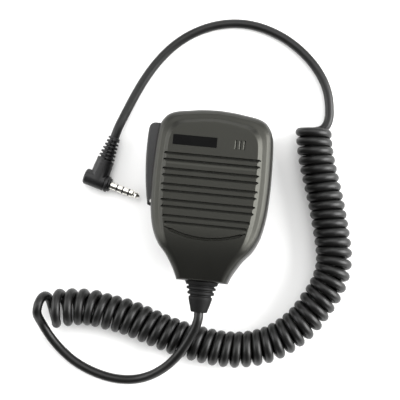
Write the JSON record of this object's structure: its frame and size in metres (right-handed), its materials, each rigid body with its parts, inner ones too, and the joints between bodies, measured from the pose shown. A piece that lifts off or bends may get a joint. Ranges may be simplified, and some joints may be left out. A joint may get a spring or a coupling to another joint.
{
  "type": "hand microphone",
  "caption": "Hand-held speaker microphone with a side talk bar, a grooved grille, a swivelling belt clip, and a curly cord that ends in a right-angle jack plug.",
  "frame": {"origin": "on the flat outer face of the belt clip's jaw, which the handset lies on, straight below the middle of the case", "axes": "+X across the case, +Y towards the top of the case, away from the strain relief, +Z the way the speaker faces"},
  "size_m": [0.1497, 0.1826, 0.038],
  "materials": {
    "shell_plastic": "fine moulded texture, satin",
    "rear_plastic": "fine moulded texture, satin",
    "label_plastic": "smooth black",
    "bar_rubber": "fine texture",
    "relief_rubber": "satin",
    "cord_rubber": "satin polyurethane",
    "plug_plastic": "satin moulded",
    "pin_metal": "bright nickel",
    "pin_black": "black insulator",
    "steel": "zinc plated",
    "brass": "turned",
    "clip_plastic": "fine texture",
    "spring_steel": "bright",
    "cloth": "fine black cloth",
    "foam": "felt ring",
    "cone_paper": "pressed film",
    "magnet_steel": "plated",
    "board_green": "solder mask",
    "chip_black": "moulded",
    "switch_black": "moulded",
    "plunger_white": "moulded",
    "wire_yellow": "insulated wire",
    "wire_red": "insulated wire"
  },
  "bodies": {
    "handset": {"front_shell": "shell_plastic", "rear_shell": "rear_plastic", "case_screws": "steel", "nameplate": "label_plastic", "grille_cloth": "cloth", "speaker_gasket": "foam", "speaker_frame": "steel", "speaker_cone": "cone_paper", "speaker_magnet": "magnet_steel", "speaker_wires": "wire_red", "mic_capsule": "steel", "mic_boot": "relief_rubber", "circuit_board": "board_green", "board_components": "chip_black", "ptt_switch": "switch_black", "ptt_seal": "relief_rubber", "ptt_pin": "steel", "earphone_jack": "switch_black", "strain_relief": "relief_rubber", "cord_tail": "cord_rubber", "cable_clamp": "steel", "lead_wires": "wire_yellow", "swivel_insert": "brass", "swivel_screw": "steel", "swivel_washer": "steel", "handset_lead": "cord_rubber", "curly_cord": "cord_rubber", "plug_lead": "cord_rubber", "plug_boot": "relief_rubber", "plug_body": "plug_plastic", "plug_sleeve": "pin_metal", "plug_rings": "pin_metal", "plug_insulators": "pin_black", "plug_tip": "pin_metal"},
    "talk_bar": {"ptt_bar": "bar_rubber"},
    "plunger": {"switch_plunger": "plunger_white"},
    "clip": {"clip_base": "clip_plastic", "clip_pin": "steel", "clip_spring": "spring_steel"},
    "jaw": {"clip_jaw": "clip_plastic"}
  },
  "joints": [
    {"name": "talk_press", "type": "hinge", "parent": "handset", "child": "talk_bar", "pos_m": [-0.0267, -0.005, 0.024], "axis": [0, 0, -1], "range_deg": [0, 1.8], "stiffness_Nm_per_rad": 1, "springref_deg": -1.15},
    {"name": "plunger_slide", "type": "slide", "parent": "handset", "child": "plunger", "axis": [1, 0, 0], "range_m": [0, 0.0009]},
    {"name": "clip_swivel", "type": "hinge", "parent": "handset", "child": "clip", "pos_m": [0, 0.004, 0.009], "axis": [0, 0, 1], "continuous": true},
    {"name": "jaw_open", "type": "hinge", "parent": "clip", "child": "jaw", "pos_m": [0, 0.015, 0.005], "axis": [1, 0, 0], "range_deg": [0, 15], "stiffness_Nm_per_rad": 0.6, "springref_deg": -20.05, "deforming": ["clip_spring"]}
  ],
  "couplings": [
    {"joint": "plunger_slide", "follows": "talk_press", "m_per_rad": 0.026}
  ]
}
